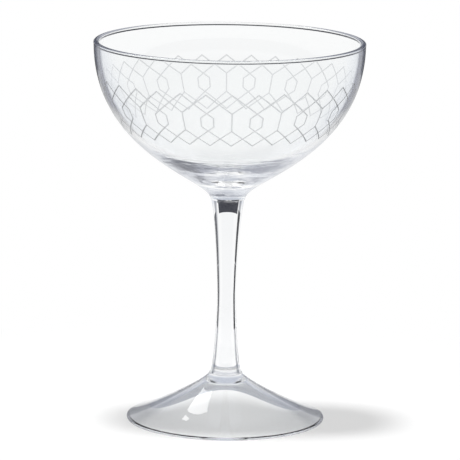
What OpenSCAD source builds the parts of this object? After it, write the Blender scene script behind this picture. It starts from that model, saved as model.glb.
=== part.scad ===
// Coupe glass: a wide blown bowl, a drawn stem and a spread foot, fused hot end to end.
// The glass stands on z = 0 with its axis on Z. Every piece is turned about that axis.

/* [Bowl] */
// Outer diameter at the rim
rim_d = 100; // [85:1:115]
// Height from the bowl's fused end to the top of the lip
bowl_h = 59; // [52:1:70]
// Wall at the lip, which is rounded over
rim_wall = 1.9; // [1.2:0.1:2.6]
// Rise of the rounded lip above the wall
lip_rise = 0.6; // [0.4:0.1:1.2]
// Glass from the fused end up to the inside floor
bowl_floor = 9.5; // [6:0.5:12]
// Diameter of the boss that the stem is fused to
boss_d = 12.8; // [10:0.2:16]
// Pull of the boss upwards, before it spreads into the bowl
boss_pull = 7.6; // [5:0.2:9]
// Pull of the outside straight down from the rim, before it turns in
outside_pull = 41.6; // [36:0.2:46]
// How much sooner the inside turns in than the outside
wall_swell = 9.8; // [8:0.2:14]
// Pull of the inside floor outwards from the axis, before it turns up
floor_pull = 20; // [10:0.5:22]

/* [Stem] */
// Length between the stem's fused ends
stem_h = 65.5; // [50:0.5:90]
// Diameter at the waist, where the stem is thinnest
waist_d = 7; // [5:0.1:8.5]
// Height of the waist above the foot's fused end
waist_rise = 29.5; // [22:0.5:36]
// Pull of the waist upwards
waist_pull_up = 4.2; // [1:0.1:12]
// Pull of the waist downwards
waist_pull_down = 9.8; // [1:0.1:16]
// Diameter of the neck, where the taper turns into the flared head
neck_d = 8.8; // [7:0.1:11]
// Depth of the neck below the bowl's fused end
neck_drop = 7.4; // [4:0.1:12]
// Diameter of the ankle, where the taper turns into the flared heel
ankle_d = 9.4; // [7:0.1:11]
// Height of the ankle above the foot's fused end
ankle_rise = 1.6; // [0.5:0.1:5]
// Step from each boss in to the stem, left by the fusing
seam_step = 0.2; // [0:0.05:0.4]

/* [Foot] */
// Diameter of the foot
foot_d = 73.5; // [60:0.5:90]
// Height from the table to the foot's fused end
foot_h = 17.5; // [14:0.5:22]
// Diameter of the boss that the stem is fused to
foot_boss_d = 12.2; // [10:0.2:16]
// Pull of the boss downwards, before it spreads into the cone
foot_boss_pull = 2.2; // [1:0.1:5]
// Thickness of the rounded edge
foot_edge = 1.2; // [0.8:0.1:2.4]
// Slope of the cone where it meets the edge, in degrees
edge_slope = 16; // [8:1:24]
// Pull of the cone inwards from the edge
cone_pull = 10; // [4:0.5:14]
// Width of the flat ring that rests on the table
rest_w = 0.6; // [0.4:0.1:3]
// Pull of the hollow inwards from the resting ring, along the cone's slope
hollow_reach = 12; // [6:0.5:16]
// Pull of the hollow outwards from the dome, along the dome's slope
hollow_pull = 10; // [4:0.5:14]
// Diameter of the dome at the top of the hollow
dome_d = 15; // [11:0.5:18]
// Depth of the dome's foot below the foot's fused end
dome_drop = 4.2; // [3.6:0.1:6]
// Slope of the hollow where the dome begins, in degrees
dome_slope = 36; // [28:1:44]
// Rise of the dome
dome_rise = 0.8; // [0.3:0.1:1.6]
// Pull of the dome inwards as it leaves the hollow
dome_pull = 1.5; // [0.5:0.1:3]
// Pull of the dome's top outwards from the axis
dome_flat = 5; // [2:0.5:6]

/* [Hidden] */
$fn = 96;
curve_steps = 18;
arc_steps = 6;
glass_tint = [0.86, 0.9, 0.93, 0.35];
stem_seam_z = foot_h;
bowl_seam_z = stem_seam_z + stem_h;
rim_r = rim_d / 2;
lip_r = rim_wall / 2;
lip_z = bowl_seam_z + bowl_h - lip_rise;
inside_pull = outside_pull - wall_swell;
boss_r = boss_d / 2;
floor_z = bowl_seam_z + bowl_floor;
waist_z = stem_seam_z + waist_rise;
foot_boss_r = foot_boss_d / 2;
edge_r = foot_edge / 2;
edge_centre = [foot_d / 2 - edge_r, edge_r];
rest_r = edge_centre[0] - rest_w;
dome_foot = [dome_d / 2, stem_seam_z - dome_drop];
dome_top = dome_foot[1] + dome_rise;

// Points of a cubic curve from a to d, pulled towards b as it leaves and towards c as it arrives
function curve(a, b, c, d) = [
    for (i = [0:curve_steps])
        let (t = i / curve_steps, s = 1 - t)
            s * s * s * a + 3 * s * s * t * b + 3 * s * t * t * c + t * t * t * d
];

// Points of a round or oval arc about a centre, between two angles
function arc(centre, across, up, from, to) = [
    for (i = [0:arc_steps])
        let (angle = from + (to - from) * i / arc_steps)
            centre + [across * cos(angle), up * sin(angle)]
];

// A step inwards and up a slope
function uphill(slope) = [-cos(slope), sin(slope)];

// A run of points without its first, which the run before it already holds
function after_first(points) = [for (i = [1:len(points) - 1]) points[i]];

module turned(outline) {
    color(glass_tint)
        rotate_extrude()
            polygon(outline);
}

// The wall is even from the lip down and swells towards the floor, because the inside turns in sooner
module bowl() {
    outside = curve([boss_r, bowl_seam_z], [boss_r, bowl_seam_z + boss_pull],
                    [rim_r, lip_z - outside_pull], [rim_r, lip_z]);
    lip = arc([rim_r - lip_r, lip_z], lip_r, lip_rise, 0, 180);
    inside = curve([rim_r - rim_wall, lip_z], [rim_r - rim_wall, lip_z - inside_pull],
                   [floor_pull, floor_z], [0, floor_z]);
    turned(concat([[0, bowl_seam_z]], outside, after_first(lip), after_first(inside)));
}

module stem() {
    heel_r = foot_boss_r - seam_step;
    head_r = boss_r - seam_step;
    waist = [waist_d / 2, waist_z];
    lower = curve([heel_r, stem_seam_z], [ankle_d / 2, stem_seam_z + ankle_rise],
                  waist - [0, waist_pull_down], waist);
    upper = curve(waist, waist + [0, waist_pull_up],
                  [neck_d / 2, bowl_seam_z - neck_drop], [head_r, bowl_seam_z]);
    turned(concat([[0, stem_seam_z]], lower, after_first(upper), [[0, bowl_seam_z]]));
}

// The hollow follows the cone and ends in a low dome. It leaves a flat ring at the edge, so the glass stands without rocking
module foot() {
    cone_end = edge_centre + edge_r * [sin(edge_slope), cos(edge_slope)];
    cone = curve([foot_boss_r, stem_seam_z], [foot_boss_r, stem_seam_z - foot_boss_pull],
                 cone_end + cone_pull * uphill(edge_slope), cone_end);
    edge = arc(edge_centre, edge_r, edge_r, 90 - edge_slope, -90);
    hollow = curve([rest_r, 0], [rest_r, 0] + hollow_reach * uphill(edge_slope),
                   dome_foot - hollow_pull * uphill(dome_slope), dome_foot);
    dome = curve(dome_foot, dome_foot + dome_pull * uphill(dome_slope), [dome_flat, dome_top], [0, dome_top]);
    turned(concat([[0, stem_seam_z]], cone, after_first(edge), hollow, after_first(dome)));
}

bowl();
stem();
foot();
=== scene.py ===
import bmesh
import bpy
import math
from mathutils import Matrix, Vector


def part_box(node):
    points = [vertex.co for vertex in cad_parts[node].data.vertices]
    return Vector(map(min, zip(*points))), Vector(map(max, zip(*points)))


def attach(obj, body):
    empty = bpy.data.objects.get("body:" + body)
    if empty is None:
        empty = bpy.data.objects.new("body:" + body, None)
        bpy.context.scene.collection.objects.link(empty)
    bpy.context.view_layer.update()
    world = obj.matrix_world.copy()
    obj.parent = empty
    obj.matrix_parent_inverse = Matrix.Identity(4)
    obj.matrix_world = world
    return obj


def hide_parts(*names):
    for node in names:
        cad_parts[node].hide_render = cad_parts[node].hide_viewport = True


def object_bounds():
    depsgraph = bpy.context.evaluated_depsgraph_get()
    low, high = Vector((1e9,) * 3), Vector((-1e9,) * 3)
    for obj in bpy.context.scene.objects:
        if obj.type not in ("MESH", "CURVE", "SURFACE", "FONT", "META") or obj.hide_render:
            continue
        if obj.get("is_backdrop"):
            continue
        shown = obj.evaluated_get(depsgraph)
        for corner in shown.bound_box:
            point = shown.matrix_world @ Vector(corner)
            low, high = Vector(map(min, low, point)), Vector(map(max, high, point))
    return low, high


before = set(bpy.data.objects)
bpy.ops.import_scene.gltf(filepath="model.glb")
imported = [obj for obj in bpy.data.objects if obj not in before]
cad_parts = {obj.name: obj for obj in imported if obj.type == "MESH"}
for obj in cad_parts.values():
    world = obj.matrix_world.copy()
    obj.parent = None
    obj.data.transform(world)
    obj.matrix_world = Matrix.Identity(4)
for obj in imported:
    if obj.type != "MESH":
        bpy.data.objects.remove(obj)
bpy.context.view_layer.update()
mm = 0.001
tiny = 1e-6                 # metres, points this near count as one
bowlLow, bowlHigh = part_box("bowl")
stemLow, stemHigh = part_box("stem")
footLow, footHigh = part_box("foot")


# Shared helpers

def linear(hexColour):
    channels = [int(hexColour[i:i + 2], 16) / 255 for i in (1, 3, 5)]
    return [c / 12.92 if c <= 0.04045 else ((c + 0.055) / 1.055) ** 2.4 for c in channels] + [1.0]


def addNode(tree, kind, settings=None, links=None):
    made = tree.nodes.new(kind)
    for name, value in (settings or {}).items():
        if name == "stops":     # of a colour ramp, lowest first
            stops = made.color_ramp.elements
            while len(stops) < len(value):
                stops.new(1.0)
            for stop, (position, colour) in zip(stops, value):
                stop.position = position
                stop.color = linear(colour)
        elif isinstance(name, int) or name in made.inputs:
            made.inputs[name].default_value = value
        else:
            setattr(made, name, value)
    for name, source in (links or {}).items():
        tree.links.new(source, made.inputs[name])
    return made


def newMaterial(name):
    material = bpy.data.materials.new(name)
    material.use_nodes = True
    material.node_tree.nodes.clear()
    return material, material.node_tree


def newObject(bm, name, materials):
    mesh = bpy.data.meshes.new(name)
    bm.to_mesh(mesh)
    bm.free()
    for material in materials:
        mesh.materials.append(material)
    made = bpy.data.objects.new(name, mesh)
    bpy.context.scene.collection.objects.link(made)
    return made


def glassPiece(bm, name, materials, node):
    piece = newObject(bm, name, materials)
    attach(piece, "root")
    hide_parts(node)
    return piece


def curve(a, b, c, d, steps):
    points = []
    for i in range(steps + 1):
        t = i / steps
        s = 1 - t
        points.append(s * s * s * a + 3 * s * s * t * b + 3 * s * t * t * c + t * t * t * d)
    return points


def at(radius, height):
    return Vector((radius, height))


def uphill(slope):
    # a step inwards and up a slope
    return at(-math.cos(slope), math.sin(slope))


# Camera, at the photograph's angle

cameraView = {
    "distance": 1538.5 * mm,
    "height": 369.5 * mm,
    "aim": Vector((0.95, 0, 71.3)) * mm,
    "roll": 0.75,           # degrees, the photograph leans a little to the right
    "lens": 331.4,
    "sensor": 36,
    "clipEnd": 50,
}

camera = bpy.data.cameras.new("camera")
camera.lens = cameraView["lens"]
camera.sensor_width = cameraView["sensor"]
camera.clip_end = cameraView["clipEnd"]
cameraObject = bpy.data.objects.new("camera", camera)
bpy.context.scene.collection.objects.link(cameraObject)
cameraPlace = Vector((0, -cameraView["distance"], cameraView["height"]))
aimTurn = (cameraView["aim"] - cameraPlace).to_track_quat("-Z", "Y").to_matrix().to_4x4()
cameraRoll = Matrix.Rotation(math.radians(cameraView["roll"]), 4, "Z")
cameraObject.matrix_world = Matrix.Translation(cameraPlace) @ aimTurn @ cameraRoll
bpy.context.scene.camera = cameraObject
print("camera placed")


# Materials

# waves that blowing and drawing leave in the surface
waves = {
    "rippleStrength": 0.04,
    "rippleDepth": 0.4 * mm,
    "streakDepth": 0.26 * mm,
    "streakSquash": 0.1,    # a streak is this narrow for its length
}


def heightLevel(tree, place, heights):
    split = addNode(tree, "ShaderNodeSeparateXYZ", {}, {0: place.outputs["Object"]})
    level = addNode(tree, "ShaderNodeMapRange", {"From Min": heights[0], "From Max": heights[1]},
                    {"Value": split.outputs["Z"]})
    return level.outputs["Result"]


def paintedEdgeShading(tree, place, look):
    # painted shade and highlight: the glass's colour is set by the angle it is seen at, darker or brighter
    # towards its edges
    facing = addNode(tree, "ShaderNodeLayerWeight", {"Blend": 0.5})
    tintAndPaintedEdges = addNode(tree, "ShaderNodeValToRGB", {"stops": look["tintAndPaintedEdges"]}, {0: facing.outputs["Facing"]})
    if "paintedEdgeHeights" not in look:
        return tintAndPaintedEdges.outputs["Color"]
    # the painted edge shade fades out low down, so there the edges stay as clear as the middle
    level = heightLevel(tree, place, look["paintedEdgeHeights"])
    mixed = addNode(tree, "ShaderNodeMix", {"data_type": "RGBA", 6: linear(look["tintAndPaintedEdges"][0][1])},
                    {0: level, 7: tintAndPaintedEdges.outputs["Color"]})
    return mixed.outputs[2]


def waveNormal(tree, place, look):
    ripple = addNode(tree, "ShaderNodeTexNoise", {"Scale": 1 / look["ripple"], "Detail": 1.0},
                     {"Vector": place.outputs["Object"]})
    bump = addNode(tree, "ShaderNodeBump",
                   {"Strength": waves["rippleStrength"], "Distance": waves["rippleDepth"]},
                   {"Height": ripple.outputs["Fac"]})
    if "streak" not in look:
        return bump.outputs["Normal"]
    # level streaks in the thick glass low down
    squash = waves["streakSquash"]
    drawn = addNode(tree, "ShaderNodeMapping", {"Scale": (squash, squash, 1)},
                    {"Vector": place.outputs["Object"]})
    streak = addNode(tree, "ShaderNodeTexNoise", {"Scale": 1 / look["streak"], "Detail": 3.0},
                     {"Vector": drawn.outputs["Vector"]})
    streaked = addNode(tree, "ShaderNodeBump", {"Distance": waves["streakDepth"]},
                       {"Strength": heightLevel(tree, place, look["streakHeights"]),
                        "Height": streak.outputs["Fac"], "Normal": bump.outputs["Normal"]})
    return streaked.outputs["Normal"]


def glassMaterial(name, look):
    material, tree = newMaterial(name)
    place = addNode(tree, "ShaderNodeTexCoord")
    glass = addNode(tree, "ShaderNodeBsdfPrincipled",
                    {"Roughness": look["roughness"], "IOR": 1.5, "Transmission Weight": 1.0})
    if len(look["tintAndPaintedEdges"]) == 1:
        glass.inputs["Base Color"].default_value = linear(look["tintAndPaintedEdges"][0][1])
    else:
        tree.links.new(paintedEdgeShading(tree, place, look), glass.inputs["Base Color"])
    if look["ripple"]:
        tree.links.new(waveNormal(tree, place, look), glass.inputs["Normal"])
    shade = addNode(tree, "ShaderNodeBsdfTransparent", {"Color": linear(look["shade"])})
    lightPath = addNode(tree, "ShaderNodeLightPath")
    straight = addNode(tree, "ShaderNodeMath", {"operation": "MAXIMUM"},
                       {0: lightPath.outputs["Is Shadow Ray"], 1: lightPath.outputs["Is Diffuse Ray"]})
    if "turns" in look:
        # light that is caught inside the wall leaves it after a few turns
        caught = addNode(tree, "ShaderNodeMath", {"operation": "GREATER_THAN", 1: look["turns"] - 0.5},
                         {0: lightPath.outputs["Glossy Depth"]})
        straight = addNode(tree, "ShaderNodeMath", {"operation": "MAXIMUM"},
                           {0: straight.outputs[0], 1: caught.outputs[0]})
    mixed = addNode(tree, "ShaderNodeMixShader", {},
                    {0: straight.outputs[0], 1: glass.outputs[0], 2: shade.outputs[0]})
    addNode(tree, "ShaderNodeOutputMaterial", {}, {"Surface": mixed.outputs[0]})
    return material


# Blown bowl, fire-polished: clear, with a cool dark band of painted shade at its upper edges, where it is
# seen edge-on and the light runs round inside the wall
blownGlass = glassMaterial("blown fire polished soda lime glass", {
    "tintAndPaintedEdges": [(0.0, "#fcfdfd"), (0.4, "#fafbfb"), (0.5, "#f2f4f7"), (0.6, "#e0e4eb"), (0.66, "#d0d5de"),
             (0.685, "#9297a6"), (0.71, "#363a4a"), (1.0, "#262a3a")],
    "paintedEdgeHeights": [103 * mm, 120 * mm],
    "roughness": 0.0,
    "ripple": 24 * mm,
    "streak": 2.4 * mm,
    "streakHeights": [104 * mm, 98 * mm],
    "turns": 4,
    "shade": "#fefefe",
})

# Inside of the bowl: the same glass, clear right up to its edges
blownInside = glassMaterial("blown soda lime glass inside", {
    "tintAndPaintedEdges": [(0.0, "#fafbfb")],
    "roughness": 0.0,
    "ripple": 24 * mm,
    "streak": 2.4 * mm,
    "streakHeights": [104 * mm, 98 * mm],
    "turns": 4,
    "shade": "#fefefe",
})

# Drawn stem: solid glass, with painted shade on its thin dark sides and a painted highlight in its bright
# middle
drawnGlass = glassMaterial("drawn soda lime glass", {
    "tintAndPaintedEdges": [(0.0, "#f6f7f8"), (0.12, "#f6f7f8"), (0.17, "#ffffff"), (0.3, "#fafbfb"), (0.38, "#84878e"),
             (0.44, "#5c5f68"), (0.5, "#94979e"), (0.58, "#fafbfb")],
    "roughness": 0.0,
    "ripple": 18 * mm,
    "shade": "#f4f5f6",
})

# Spread foot: thinner glass, with painted grey shade at its slopes, where it is seen edge-on
spreadGlass = glassMaterial("spread fire polished soda lime glass", {
    "tintAndPaintedEdges": [(0.0, "#fdfefe"), (0.6, "#fafbfb"), (0.68, "#c4c6ca"), (0.8, "#909297"), (0.87, "#a4a6aa"),
             (0.95, "#cccfd4")],
    "roughness": 0.0,
    "ripple": 20 * mm,
    "shade": "#fefefe",
})

# Wheel-engraved line, left unpolished: fine grey frost in the cut, with painted shade that darkens it where
# it is seen edge-on
engravedGlass = glassMaterial("wheel engraved frosted soda lime glass", {
    "tintAndPaintedEdges": [(0.0, "#c4c6c8"), (0.25, "#bcbec0"), (0.6, "#6a6c6e"), (1.0, "#4a4c4e")],
    "roughness": 0.35,
    "ripple": 0,
    "turns": 4,
    "shade": "#fefefe",
})

# Fused seam: the glass runs through it, so the face itself doesn't show
fusedSeam, tree = newMaterial("hot fused seam")
through = addNode(tree, "ShaderNodeBsdfTransparent", {"Color": (1, 1, 1, 1)})
addNode(tree, "ShaderNodeOutputMaterial", {}, {"Surface": through.outputs[0]})
seamSlot, engravedSlot, insideSlot = 1, 2, 3    # slot 0 is a piece's clear glass
print("materials made")


# Bowl: one sheet, engraved flat and then rolled round the glass

bowl = {
    "wall": 1.9 * mm,
    "bossRadius": 6.4 * mm,
    "bossPull": 7.6 * mm,
    "outsidePull": 41.6 * mm,
    "insidePull": 31.8 * mm,
    "floor": 9.5 * mm,
    "floorPull": 20 * mm,
    "seamRadius": 6.2 * mm,
    "lipRise": 0.6 * mm,
    "bead": 0.11 * mm,      # swell of the fire-polished lip, each side
    "beadReach": 0.8 * mm,
    "curveSteps": 900,
    "lipSteps": 40,
    "insideRows": 44,       # rows of faces along each stretch of the wall
    "beadRows": 12,
    "lipRows": 14,
    "wallRows": 7,
    "uprightRows": 3,
    "lowerRows": 34,
    "seamRows": 4,
}

lattice = {
    "repeats": 16,
    "top": 12.1 * mm,       # along the wall from the lip to the upper points
    "foot": 34.55 * mm,     # and to the lower points
    "climb": 14.8 * mm,     # along the wall for one repeat of a slanting line
    "smallHexagon": 0.13,   # half its width, in repeats
    "lineWidth": 0.5 * mm,  # cut as wide as it needs to show
    "lineDepth": 0.1 * mm,
    "turn": 1.4,            # degrees from the front to an upright line
    "middleRadius": 46 * mm,
}


def beaded(points, lipHeight, side):
    swelled = []
    for point in points:
        below = (lipHeight - point.y) / bowl["beadReach"]
        swell = 0.5 + 0.5 * math.cos(math.pi * below) if below < 1 else 0
        swelled.append(point + at(side * bowl["bead"] * swell, 0))
    return swelled


def bowlProfile():
    rimRadius = bowlHigh.x
    lipRadius = bowl["wall"] / 2 + bowl["bead"]
    lipHeight = bowlHigh.z - bowl["lipRise"]
    seam = bowlLow.z
    insideRim = rimRadius - bowl["wall"]
    floorHeight = seam + bowl["floor"]
    inside = curve(at(0, floorHeight), at(bowl["floorPull"], floorHeight),
                   at(insideRim, lipHeight - bowl["insidePull"]), at(insideRim, lipHeight),
                   bowl["curveSteps"])
    lip = []
    for i in range(1, bowl["lipSteps"]):
        angle = math.pi * (1 - i / bowl["lipSteps"])
        lip.append(at(rimRadius - bowl["wall"] / 2 + lipRadius * math.cos(angle),
                      lipHeight + bowl["lipRise"] * math.sin(angle)))
    outside = curve(at(rimRadius, lipHeight), at(rimRadius, lipHeight - bowl["outsidePull"]),
                    at(bowl["bossRadius"], seam + bowl["bossPull"]), at(bowl["bossRadius"], seam),
                    bowl["curveSteps"])
    inside, outside = beaded(inside, lipHeight, -1), beaded(outside, lipHeight, 1)
    return inside, lip, outside, [at(bowl["seamRadius"], seam), at(0, seam)]


def runningLengths(points):
    lengths = [0.0]
    for before, after in zip(points, points[1:]):
        lengths.append(lengths[-1] + (after - before).length)
    return lengths


inside, lip, outside, underside = bowlProfile()
profile = inside + lip + outside + underside
profileLengths = runningLengths(profile)
insideEnd = profileLengths[len(inside) - 1]
lipEnd = profileLengths[len(inside) + len(lip)]
bossEnd = profileLengths[len(inside) + len(lip) + len(outside) - 1]
seamStart = profileLengths[-2]
sheetEnd = profileLengths[-1]


def alongProfile(length):
    low, high = 0, len(profile) - 1
    while high - low > 1:
        middle = (low + high) // 2
        if profileLengths[middle] <= length:
            low = middle
        else:
            high = middle
    share = (length - profileLengths[low]) / (profileLengths[high] - profileLengths[low])
    return profile[low].lerp(profile[high], share)


def outward(length, turn):
    # smooth between neighbouring stretches of the profile
    reach = 0.06 * mm
    if length > bossEnd + reach / 4:
        direction = Vector((-1, 0))
    else:
        before = alongProfile(max(length - reach, 0))
        after = alongProfile(min(length + reach, bossEnd))
        direction = (after - before).normalized()
    normal = Vector((-direction.y, direction.x))
    return Vector((normal.x * math.sin(turn), -normal.x * math.cos(turn), normal.y))


def latticeLines():
    top, foot, climb, half = lattice["top"], lattice["foot"], lattice["climb"], lattice["smallHexagon"]
    side = 0.5 + half
    lines = [
        ((0, top), (side, top + side * climb)),
        ((1, top), (1 - side, top + side * climb)),
        ((0.5, top), (0, top + 0.5 * climb)),
        ((0.5, top), (1, top + 0.5 * climb)),
        ((0, foot), (side, foot - side * climb)),
        ((1, foot), (1 - side, foot - side * climb)),
        ((0.5, foot), (0, foot - 0.5 * climb)),
        ((0.5, foot), (1, foot - 0.5 * climb)),
        ((side, top + side * climb), (side, foot - side * climb)),
        ((1 - side, top + side * climb), (1 - side, foot - side * climb)),
        ((0, top + 0.5 * climb), (0, foot - 0.5 * climb)),
    ]
    return [((a + shift, b), (c + shift, d)) for (a, b), (c, d) in lines for shift in (-1, 0, 1)]


def spread(start, end, steps):
    return [start + (end - start) * i / steps for i in range(1, steps + 1)]


def repeatSteps():
    # rows and columns share these, so every slanting line runs from corner to corner of the grid
    half = lattice["smallHexagon"]
    quarter = [0, half / 2, half, (half + 0.25) / 2, 0.25]
    return quarter + [0.5 - step for step in reversed(quarter[:-1])]


def sheetRows():
    top, foot, climb, half = lattice["top"], lattice["foot"], lattice["climb"], lattice["smallHexagon"]
    steps = repeatSteps() + [0.5 + half / 2, 0.5 + half]
    bead = 1.5 * bowl["beadReach"]
    rows = [0.0]
    rows += spread(0, insideEnd - bead, bowl["insideRows"])
    rows += spread(insideEnd - bead, insideEnd, bowl["beadRows"])
    rows += spread(insideEnd, lipEnd, bowl["lipRows"])
    rows += spread(lipEnd, lipEnd + bead, bowl["beadRows"])
    rows += spread(lipEnd + bead, lipEnd + top, bowl["wallRows"])
    rows += [lipEnd + top + step * climb for step in steps[1:]]
    rows += spread(rows[-1], lipEnd + foot - steps[-1] * climb, bowl["uprightRows"])
    rows += [lipEnd + foot - step * climb for step in reversed(steps[:-1])]
    rows += spread(lipEnd + foot, bossEnd, bowl["lowerRows"])
    return rows + [seamStart] + spread(seamStart, sheetEnd, bowl["seamRows"])


def sheetColumns():
    # one repeat, started a step early so that no line runs along its side
    steps = repeatSteps()
    return [-steps[1]] + steps + [0.5 + step for step in steps[1:-1]]


repeatWidth = 2 * math.pi * lattice["middleRadius"] / lattice["repeats"]
rows, columns = sheetRows(), sheetColumns()
bm = bmesh.new()
bmesh.ops.create_grid(bm, x_segments=len(columns) - 1, y_segments=len(rows) - 1, size=0.5)
for vert in bm.verts:
    column = round((vert.co.x + 0.5) * (len(columns) - 1))
    row = round((vert.co.y + 0.5) * (len(rows) - 1))
    vert.co = (columns[column] * repeatWidth, rows[row], 0)
print("sheet of", len(columns) - 1, "by", len(rows) - 1)


def sheetPoint(point):
    return Vector((point[0] * repeatWidth, lipEnd + point[1], 0))


def onLine(point, start, end):
    along = end - start
    share = (point - start).dot(along) / along.length_squared
    endSlack = 1e-4         # of the line's length
    if share < -endSlack or share > 1 + endSlack:
        return False
    return (start + along * share - point).length < tiny


sheetLines = [(sheetPoint(a), sheetPoint(b)) for a, b in latticeLines()]
for start, end in sheetLines:
    if abs(start.x - end.x) < tiny:
        continue            # an upright line already lies on a column
    lowX, highX = sorted((start.x, end.x))
    lowY, highY = sorted((start.y, end.y))
    faces = []
    for face in bm.faces:
        middle = face.calc_center_bounds()
        if lowX < middle.x < highX and lowY < middle.y < highY:
            faces.append(face)
    if not faces:
        continue
    edges = {edge for face in faces for edge in face.edges}
    verts = {vert for face in faces for vert in face.verts}
    across = Vector((-(end - start).y, (end - start).x, 0)).normalized()
    bmesh.ops.bisect_plane(bm, geom=list(verts) + list(edges) + faces, dist=2 * tiny,
                           plane_co=start, plane_no=across)

for edge in bm.edges:
    one, two = edge.verts[0].co, edge.verts[1].co
    edge.seam = any(onLine(one, a, b) and onLine(two, a, b) for a, b in sheetLines)
cell = bm.verts[:] + bm.edges[:] + bm.faces[:]
for repeat in range(1, lattice["repeats"]):
    copied = bmesh.ops.duplicate(bm, geom=cell)["geom"]
    copiedVerts = [item for item in copied if isinstance(item, bmesh.types.BMVert)]
    bmesh.ops.translate(bm, verts=copiedVerts, vec=(repeat * repeatWidth, 0, 0))

# the sheet closes to a plain drum, where the lines are cut to their width, and the drum then takes
# the bowl's form
for vert in bm.verts:
    turn = vert.co.x / lattice["middleRadius"]
    vert.co = (lattice["middleRadius"] * math.sin(turn), -lattice["middleRadius"] * math.cos(turn), vert.co.y)
bmesh.ops.remove_doubles(bm, verts=bm.verts, dist=2 * tiny)
lineEdges = [edge for edge in bm.edges if edge.seam]
cut = bmesh.ops.bevel(bm, geom=lineEdges, offset=lattice["lineWidth"] / 2, offset_type="OFFSET",
                      affect="EDGES", segments=2, profile=0.5, material=-1, clamp_overlap=False,
                      loop_slide=False)
for face in cut["faces"]:
    face.material_index = engravedSlot
print("lattice cut along", len(lineEdges), "edges")

for face in bm.faces:
    height = face.calc_center_bounds().z
    if height > seamStart:
        face.material_index = seamSlot
    elif height < (insideEnd + lipEnd) / 2:
        face.material_index = insideSlot
deep = {vert for vert in bm.verts if all(face.material_index == engravedSlot for face in vert.link_faces)}
lengthLayer = bm.verts.layers.float.new("profileLength")
for vert in bm.verts:
    vert[lengthLayer] = vert.co.z
    turn = math.radians(lattice["turn"]) + math.atan2(vert.co.x, -vert.co.y)
    point = alongProfile(vert[lengthLayer])
    depth = lattice["lineDepth"] if vert in deep else 0
    vert.co = Vector((point.x * math.sin(turn), -point.x * math.cos(turn), point.y))
    vert.co -= outward(vert[lengthLayer], turn) * depth
bmesh.ops.remove_doubles(bm, verts=bm.verts, dist=2 * tiny)
bmesh.ops.recalc_face_normals(bm, faces=bm.faces)
openEdges = sum(1 for edge in bm.edges if len(edge.link_faces) != 2)
print("bowl rolled up,", len(bm.faces), "faces,", openEdges, "open edges")
bowlPiece = glassPiece(bm, "bowl_engraved", [blownGlass, fusedSeam, engravedGlass, blownInside], "bowl")

# true normals of the turned surface, so the cut faces round a line don't ripple the clear glass
mesh = bowlPiece.data
lengths = [item.value for item in mesh.attributes["profileLength"].data]
loopNormals = [Vector((0, 0, 1))] * len(mesh.loops)
for polygon in mesh.polygons:
    polygon.use_smooth = True
    under = all(lengths[index] > bossEnd - tiny / 10 for index in polygon.vertices)
    for loop in polygon.loop_indices:
        index = mesh.loops[loop].vertex_index
        spot = mesh.vertices[index].co
        if polygon.material_index == engravedSlot:
            loopNormals[loop] = polygon.normal.copy()
        elif under:
            loopNormals[loop] = Vector((0, 0, -1))
        else:
            loopNormals[loop] = outward(min(lengths[index], bossEnd), math.atan2(spot.x, -spot.y))
mesh.normals_split_custom_set(loopNormals)


# Stem and foot, turned about the axis

stem = {
    "headRadius": 6.2 * mm,
    "heelRadius": 5.9 * mm,
    "waistRadius": 3.5 * mm,
    "waistRise": 29.5 * mm,
    "waistPullUp": 4.2 * mm,
    "waistPullDown": 9.8 * mm,
    "neckRadius": 4.4 * mm,
    "neckDrop": 7.4 * mm,
    "ankleRadius": 4.7 * mm,
    "ankleRise": 1.6 * mm,
    "curveSteps": 40,
}

foot = {
    "bossRadius": 6.1 * mm,
    "bossPull": 2.2 * mm,
    "edge": 1.2 * mm,
    "edgeSlope": math.radians(16),
    "conePull": 10 * mm,
    "restWidth": 0.6 * mm,
    "hollowReach": 12 * mm,
    "hollowPull": 10 * mm,
    "domeRadius": 7.5 * mm,
    "domeDrop": 4.2 * mm,
    "domeSlope": math.radians(36),
    "domeRise": 0.8 * mm,
    "domePull": 1.5 * mm,
    "domeFlat": 5 * mm,
    "curveSteps": 48,
    "domeSteps": 16,
    "edgeSteps": 12,
}
turnSteps = 160
sharpAngle = math.radians(50)


def turned(points):
    bm = bmesh.new()
    verts = [bm.verts.new((point.x, 0, point.y)) for point in points]
    edges = [bm.edges.new(pair) for pair in zip(verts, verts[1:])]
    bmesh.ops.spin(bm, geom=verts + edges, cent=(0, 0, 0), axis=(0, 0, 1), dvec=(0, 0, 0),
                   angle=2 * math.pi, steps=turnSteps, use_merge=True, use_duplicate=False)
    bmesh.ops.remove_doubles(bm, verts=bm.verts, dist=2 * tiny)
    bmesh.ops.recalc_face_normals(bm, faces=bm.faces)
    return bm


def markSeam(bm, height, radius):
    for face in bm.faces:
        middle = face.calc_center_median()
        level = abs(middle.z - height) < tiny
        if level and Vector((middle.x, middle.y)).length < radius:
            face.material_index = seamSlot


def smoothTurned(piece):
    for polygon in piece.data.polygons:
        polygon.use_smooth = True
    piece.data.set_sharp_from_angle(angle=sharpAngle)


def stemProfile():
    waist = at(stem["waistRadius"], stemLow.z + stem["waistRise"])
    lower = curve(at(stem["heelRadius"], stemLow.z), at(stem["ankleRadius"], stemLow.z + stem["ankleRise"]),
                  waist - at(0, stem["waistPullDown"]), waist, stem["curveSteps"])
    upper = curve(waist, waist + at(0, stem["waistPullUp"]),
                  at(stem["neckRadius"], stemHigh.z - stem["neckDrop"]), at(stem["headRadius"], stemHigh.z),
                  stem["curveSteps"])
    return [at(0, stemLow.z)] + lower + upper[1:] + [at(0, stemHigh.z)]


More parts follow.
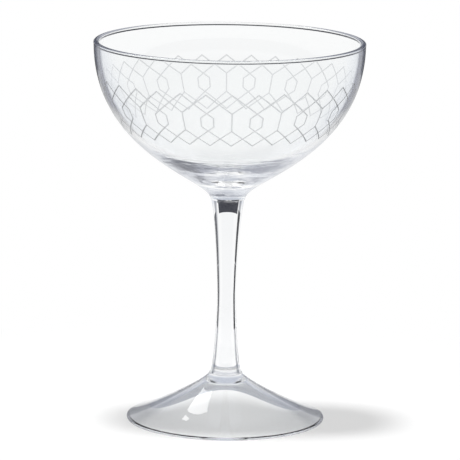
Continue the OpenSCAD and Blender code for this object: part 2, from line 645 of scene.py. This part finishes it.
def footProfile():
    edgeRadius = foot["edge"] / 2
    edgeCentre = at(footHigh.x - edgeRadius, footLow.z + edgeRadius)
    slope = foot["edgeSlope"]
    coneEnd = edgeCentre + edgeRadius * at(math.sin(slope), math.cos(slope))
    cone = curve(at(foot["bossRadius"], footHigh.z), at(foot["bossRadius"], footHigh.z - foot["bossPull"]),
                 coneEnd + foot["conePull"] * uphill(slope), coneEnd, foot["curveSteps"])
    edge = []
    for i in range(1, foot["edgeSteps"] + 1):
        angle = math.pi / 2 - slope - (math.pi - slope) * i / foot["edgeSteps"]
        edge.append(edgeCentre + edgeRadius * at(math.cos(angle), math.sin(angle)))
    rest = at(edgeCentre.x - foot["restWidth"], footLow.z)
    dome = at(foot["domeRadius"], footHigh.z - foot["domeDrop"])
    domeTop = dome.y + foot["domeRise"]
    intoDome = uphill(foot["domeSlope"])
    hollow = curve(rest, rest + foot["hollowReach"] * uphill(slope),
                   dome - foot["hollowPull"] * intoDome, dome, foot["curveSteps"])
    hollow += curve(dome, dome + foot["domePull"] * intoDome, at(foot["domeFlat"], domeTop), at(0, domeTop),
                    foot["domeSteps"])[1:]
    return [at(0, footHigh.z), at(stem["heelRadius"], footHigh.z)] + cone + edge + hollow


bm = turned(stemProfile())
markSeam(bm, stemLow.z, stem["heelRadius"])
markSeam(bm, stemHigh.z, stem["headRadius"])
smoothTurned(glassPiece(bm, "stem_drawn", [drawnGlass, fusedSeam], "stem"))
bm = turned(footProfile())
markSeam(bm, footHigh.z, stem["heelRadius"])
smoothTurned(glassPiece(bm, "foot_spread", [spreadGlass, fusedSeam], "foot"))
print("stem and foot turned")


# Floor, backdrop and lights, in metres

def hideFrom(made, rays):
    for ray in rays:
        setattr(made, "visible_" + ray, False)


def stagePiece(bm, name, material, hidden=()):
    made = newObject(bm, name, [material])
    made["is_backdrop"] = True
    hideFrom(made, hidden)


def mirrorOnly(tree, lightPath):
    # rays through clear glass count as glossy too, so they are taken out
    only = addNode(tree, "ShaderNodeMath", {"operation": "SUBTRACT", "use_clamp": True},
                   {0: lightPath.outputs["Is Glossy Ray"], 1: lightPath.outputs["Is Transmission Ray"]})
    return only.outputs[0]


def showFor(tree, colour, strength, shown):
    # a card or cloth that is there only for the rays it is meant for
    face = addNode(tree, "ShaderNodeEmission", {"Color": linear(colour), "Strength": strength})
    away = addNode(tree, "ShaderNodeBsdfTransparent", {"Color": (1, 1, 1, 1)})
    mixed = addNode(tree, "ShaderNodeMixShader", {}, {0: shown, 1: away.outputs[0], 2: face.outputs[0]})
    addNode(tree, "ShaderNodeOutputMaterial", {}, {"Surface": mixed.outputs[0]})


offCamera = ["camera", "diffuse", "shadow"]
oneWall = 2.5               # fewer crossings than this: in and out of one wall
notOnce = 0.5               # fewer crossings or turns than this: none at all

# White paper, which keeps the shadow near the glass and is plain white further off
floor = {
    "radius": 2.2,
    "segments": 96,
    "paper": "#f6f6f6",
    "white": (0.09, 0.17),  # distance from the glass over which the paper turns to plain white
    "behind": (0.45, 0.6),  # radians to each side of straight behind, where the mirrored floor is dim
    "dim": 0.15,
    # by distance: the bowl's underside mirrors a pale ring of floor, and its sides the dim floor beyond
    "paleRing": [(0.1, "#000000"), (0.15, "#f0f0f0"), (0.58, "#f0f0f0"), (0.68, "#000000")],
    # light that leaves the bowl's wall after its turns finds the floor in pale and grey rings
    "caughtRings": [(0.05, "#a2a5b0"), (0.2, "#9a9da8"), (0.3, "#e8ebf0"), (0.5, "#f0f2f6"),
                    (0.8, "#a8acb8")],
}

floorPaint, tree = newMaterial("matt white paper")
lightPath = addNode(tree, "ShaderNodeLightPath")
place = addNode(tree, "ShaderNodeTexCoord")
split = addNode(tree, "ShaderNodeSeparateXYZ", {}, {0: place.outputs["Object"]})
reach = addNode(tree, "ShaderNodeVectorMath", {"operation": "LENGTH"}, {0: place.outputs["Object"]})
far = addNode(tree, "ShaderNodeMapRange",
              {"From Min": floor["white"][0], "From Max": floor["white"][1],
               "interpolation_type": "SMOOTHSTEP"}, {"Value": reach.outputs["Value"]})
seen = addNode(tree, "ShaderNodeMath", {"operation": "MAXIMUM"},
               {0: lightPath.outputs["Is Camera Ray"], 1: lightPath.outputs["Is Transmission Ray"]})
white = addNode(tree, "ShaderNodeMath", {"operation": "MULTIPLY"}, {0: seen.outputs[0], 1: far.outputs[0]})
mirrored = addNode(tree, "ShaderNodeMath", {"operation": "MULTIPLY"},
                   {0: mirrorOnly(tree, lightPath), 1: far.outputs[0]})
caught = addNode(tree, "ShaderNodeMath", {"operation": "MULTIPLY", "use_clamp": True},
                 {0: mirrorOnly(tree, lightPath), 1: lightPath.outputs["Transmission Depth"]})
turn = addNode(tree, "ShaderNodeMath", {"operation": "ARCTAN2"},
               {0: split.outputs["X"], 1: split.outputs["Y"]})
aside = addNode(tree, "ShaderNodeMath", {"operation": "ABSOLUTE"}, {0: turn.outputs[0]})
lit = addNode(tree, "ShaderNodeMapRange",
              {"From Min": floor["behind"][0], "From Max": floor["behind"][1],
               "To Min": floor["dim"], "To Max": 1.0}, {"Value": aside.outputs[0]})
paleRing = addNode(tree, "ShaderNodeValToRGB", {"stops": floor["paleRing"]}, {0: reach.outputs["Value"]})
lit = addNode(tree, "ShaderNodeMath", {"operation": "MAXIMUM"},
              {0: lit.outputs["Result"], 1: paleRing.outputs["Color"]})
rings = addNode(tree, "ShaderNodeValToRGB", {"stops": floor["caughtRings"]}, {0: reach.outputs["Value"]})
paper = addNode(tree, "ShaderNodeBsdfDiffuse", {"Color": linear(floor["paper"])})
glow = addNode(tree, "ShaderNodeEmission", {"Color": (1, 1, 1, 1), "Strength": 1.0})
dim = addNode(tree, "ShaderNodeEmission", {"Color": (1, 1, 1, 1)}, {"Strength": lit.outputs[0]})
ringed = addNode(tree, "ShaderNodeEmission", {"Strength": 1.0}, {"Color": rings.outputs["Color"]})
mixed = paper
for share, layer in [(white, glow), (mirrored, dim), (caught, ringed)]:
    mixed = addNode(tree, "ShaderNodeMixShader", {},
                    {0: share.outputs[0], 1: mixed.outputs[0], 2: layer.outputs[0]})
addNode(tree, "ShaderNodeOutputMaterial", {}, {"Surface": mixed.outputs[0]})
bm = bmesh.new()
bmesh.ops.create_circle(bm, cap_ends=True, segments=floor["segments"], radius=floor["radius"])
stagePiece(bm, "floor", floorPaint)

# Black cards beside and behind, which the stem and the lip gather as dark lines. A card shows through one
# wall of glass, and only to rays that have come as far from the glass as its row says. The lengths are
# fitted to the photograph's angle.
cards = {
    "colour": "#0e1124",
    "steps": 6,
    # radius, lean of the lower edge towards the glass, lower and upper height, turn from and to in degrees
    # from straight behind towards the right, length of the rays, slack
    "rows": [
        (0.36, 0, 0.011, 0.075, 42, 66, 0.3585, 0.006),
        (0.36, 0, 0.011, 0.075, -50, -34, 0.3585, 0.006),
        (0.18, 0.0034, 0.001, 0.034, 42, 66, 0.1797, 0.0009),
        (0.18, 0.0034, 0.001, 0.034, -50, -34, 0.1794, 0.0009),
        (0.1, 0.0017, 0.004, 0.0205, 42, 66, 0.1006, 0.0009),
        (0.1, 0.0017, 0.004, 0.0205, -50, -34, 0.1006, 0.0009),
        (0.08, 0, 0.0743, 0.0868, -28, 24, 0.0765, 0.003),
        (0.85, 0, 0.135, 0.34, -30, 30, 0.85, 0.08),
    ],
}

for number, (radius, lean, low, high, start, end, length, slack) in enumerate(cards["rows"]):
    cardPaint, tree = newMaterial("matt black card " + str(number))
    lightPath = addNode(tree, "ShaderNodeLightPath")
    shown = addNode(tree, "ShaderNodeMath", {"operation": "LESS_THAN", 1: oneWall},
                    {0: lightPath.outputs["Transmission Depth"]})
    unthrown = addNode(tree, "ShaderNodeMath", {"operation": "LESS_THAN", 1: notOnce},
                       {0: lightPath.outputs["Glossy Depth"]})
    placed = addNode(tree, "ShaderNodeMath", {"operation": "COMPARE", 1: length, 2: slack},
                     {0: lightPath.outputs["Ray Length"]})
    for also in (unthrown, placed):
        shown = addNode(tree, "ShaderNodeMath", {"operation": "MULTIPLY"},
                        {0: shown.outputs[0], 1: also.outputs[0]})
    showFor(tree, cards["colour"], 1.0, shown.outputs[0])
    bm = bmesh.new()
    startTurn = Matrix.Rotation(-math.radians(start), 3, "Z")
    ends = [Vector((0, radius, high)), Vector((0, radius - lean, low))]
    side = [bm.verts.new(startTurn @ point) for point in ends]
    bmesh.ops.spin(bm, geom=side + [bm.edges.new(side)], cent=(0, 0, 0), axis=(0, 0, -1), dvec=(0, 0, 0),
                   angle=math.radians(end - start), steps=cards["steps"], use_merge=False,
                   use_duplicate=False)
    stagePiece(bm, "card_" + str(number), cardPaint, offCamera)

# A grey strip of card on the floor behind, which the thick glass over the stem gathers
strip = {
    "colour": "#b4b7c2",
    "corners": [(-0.025, 0.06, 0.0005), (0.025, 0.06, 0.0005), (0.045, 0.24, 0.0005),
                (-0.045, 0.24, 0.0005)],
}

stripPaint, tree = newMaterial("matt grey card")
lightPath = addNode(tree, "ShaderNodeLightPath")
thrown = addNode(tree, "ShaderNodeMath", {"operation": "MULTIPLY", "use_clamp": True},
                 {0: lightPath.outputs["Transmission Depth"], 1: lightPath.outputs["Glossy Depth"]})
showFor(tree, strip["colour"], 1.0, thrown.outputs[0])
bm = bmesh.new()
bm.faces.new([bm.verts.new(corner) for corner in strip["corners"]])
stagePiece(bm, "strip", stripPaint, offCamera)

# The room beyond the sweep, by the rise of a ray: bright low down and darker higher up, where it is mirrored
# and where it is seen through the glass
room = {
    "fill": 0.74,
    "mirrored": [(0.03, "#ffffff"), (0.045, "#6c6e76"), (0.22, "#6c6e76"), (0.27, "#dcdce0"),
                 (0.38, "#898a8c")],
    "seen": [(0.04, "#ffffff"), (0.12, "#e4e7ee"), (0.3, "#d8dce6"), (0.5, "#c8cdd8")],
    # for light that leaves the bowl's wall after its turns, to the right and to the left
    "caughtRight": [(0.0, "#a0a4b0"), (0.06, "#646874"), (0.2, "#5e626e"), (0.26, "#8c909c"),
                    (0.34, "#e4e7ec"), (0.45, "#a8acb8"), (0.7, "#dadde4")],
    "caughtLeft": [(0.0, "#a4a8b2"), (0.06, "#989ca8"), (0.2, "#9ca0ac"), (0.34, "#e8ebf0"),
                   (0.45, "#c0c4ce"), (0.7, "#e4e8ee")],
    "blend": 0.1,           # to each side of the middle, from left to right
}

world = bpy.data.worlds.new("studio")
bpy.context.scene.world = world
world.use_nodes = True
tree = world.node_tree
tree.nodes.clear()
lightPath = addNode(tree, "ShaderNodeLightPath")
place = addNode(tree, "ShaderNodeTexCoord")
split = addNode(tree, "ShaderNodeSeparateXYZ", {}, {0: place.outputs["Generated"]})
tones = {}
for name in ("mirrored", "seen", "caughtRight", "caughtLeft"):
    ramp = addNode(tree, "ShaderNodeValToRGB", {"stops": room[name]}, {0: split.outputs["Z"]})
    tones[name] = ramp.outputs["Color"]
aside = addNode(tree, "ShaderNodeMapRange", {"From Min": -room["blend"], "From Max": room["blend"]},
                {"Value": split.outputs["X"]})
caughtTone = addNode(tree, "ShaderNodeMix", {"data_type": "RGBA"},
                     {0: aside.outputs["Result"], 6: tones["caughtLeft"], 7: tones["caughtRight"]})
caught = addNode(tree, "ShaderNodeMath", {"operation": "MULTIPLY", "use_clamp": True},
                 {0: lightPath.outputs["Transmission Depth"], 1: lightPath.outputs["Is Glossy Ray"]})
mixed = addNode(tree, "ShaderNodeBackground", {"Color": (1, 1, 1, 1), "Strength": room["fill"]})
for ray, tone in [(lightPath.outputs["Is Glossy Ray"], tones["mirrored"]),
                  (caught.outputs[0], caughtTone.outputs[2]),
                  (lightPath.outputs["Is Transmission Ray"], tones["seen"])]:
    light = addNode(tree, "ShaderNodeBackground", {"Strength": 1.0}, {"Color": tone})
    mixed = addNode(tree, "ShaderNodeMixShader", {}, {0: ray, 1: mixed.outputs[0], 2: light.outputs[0]})
plain = addNode(tree, "ShaderNodeBackground", {"Color": (1, 1, 1, 1), "Strength": 1.0})
mixed = addNode(tree, "ShaderNodeMixShader", {},
                {0: lightPath.outputs["Is Camera Ray"], 1: mixed.outputs[0], 2: plain.outputs[0]})
addNode(tree, "ShaderNodeOutputWorld", {}, {"Surface": mixed.outputs[0]})

key = {
    "size": 0.09,
    "power": 4.9,
    "place": Vector((-0.15, 0.05, 1.1)),
    "aim": Vector((0, 0, 0.05)),
}

lamp = bpy.data.lights.new("key", "AREA")
lamp.shape = "DISK"
lamp.size = key["size"]
lamp.energy = key["power"]
lampObject = bpy.data.objects.new("key", lamp)
bpy.context.scene.collection.objects.link(lampObject)
lampTurn = (key["aim"] - key["place"]).to_track_quat("-Z", "Y").to_matrix().to_4x4()
lampObject.matrix_world = Matrix.Translation(key["place"]) @ lampTurn
hideFrom(lampObject, ["camera", "glossy", "transmission"])

# A flag under the key, which lays a soft shadow round the foot
flag = {
    "colour": "#101010",
    "place": Vector((-0.0188, 0.0067, 0.2)),
    "reach": (0.0434, 0.0221),
    "blunt": 0.7,           # under 1 makes the corners fuller than an oval's
    "segments": 64,
}

flagPaint, tree = newMaterial("matt black cloth")
cloth = addNode(tree, "ShaderNodeBsdfDiffuse", {"Color": linear(flag["colour"])})
addNode(tree, "ShaderNodeOutputMaterial", {}, {"Surface": cloth.outputs[0]})
bm = bmesh.new()
bmesh.ops.create_circle(bm, cap_ends=True, segments=flag["segments"], radius=1)
for vert in bm.verts:
    blunt = Vector([math.copysign(abs(part) ** flag["blunt"], part) for part in vert.co])
    vert.co = flag["place"] + Vector((blunt.x * flag["reach"][0], blunt.y * flag["reach"][1], 0))
stagePiece(bm, "flag", flagPaint, ["camera", "diffuse", "glossy", "transmission"])

# A window of light behind to the left, which the foot mirrors
window = {
    "strength": 5.0,
    "distance": 1.2,
    # corners of the panes by their height and their turn from straight behind, in degrees
    "panes": [[(49, -29.5), (45, -38), (64, -43), (63, -23)],
              [(49, -25.5), (50, -27.5), (53, -25.5), (52, -24)]],
}

windowPaint, tree = newMaterial("lit cloth")
lightPath = addNode(tree, "ShaderNodeLightPath")
first = addNode(tree, "ShaderNodeMath", {"operation": "LESS_THAN", 1: notOnce},
                {0: lightPath.outputs["Transmission Depth"]})
shown = addNode(tree, "ShaderNodeMath", {"operation": "MULTIPLY"},
                {0: mirrorOnly(tree, lightPath), 1: first.outputs[0]})
showFor(tree, "#ffffff", window["strength"], shown.outputs[0])
bm = bmesh.new()
for pane in window["panes"]:
    corners = []
    for rise, turn in pane:
        rise, turn = math.radians(rise), math.radians(turn)
        away = Vector((math.cos(rise) * math.sin(turn), math.cos(rise) * math.cos(turn), math.sin(rise)))
        corners.append(bm.verts.new(window["distance"] * away))
    bm.faces.new(corners)
stagePiece(bm, "window", windowPaint, offCamera)

scene = bpy.context.scene
scene.view_settings.view_transform = "Standard"
scene.cycles.max_bounces = 32
scene.cycles.transmission_bounces = 32
scene.cycles.glossy_bounces = 16
scene.cycles.transparent_max_bounces = 32
print("studio set")

low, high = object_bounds()
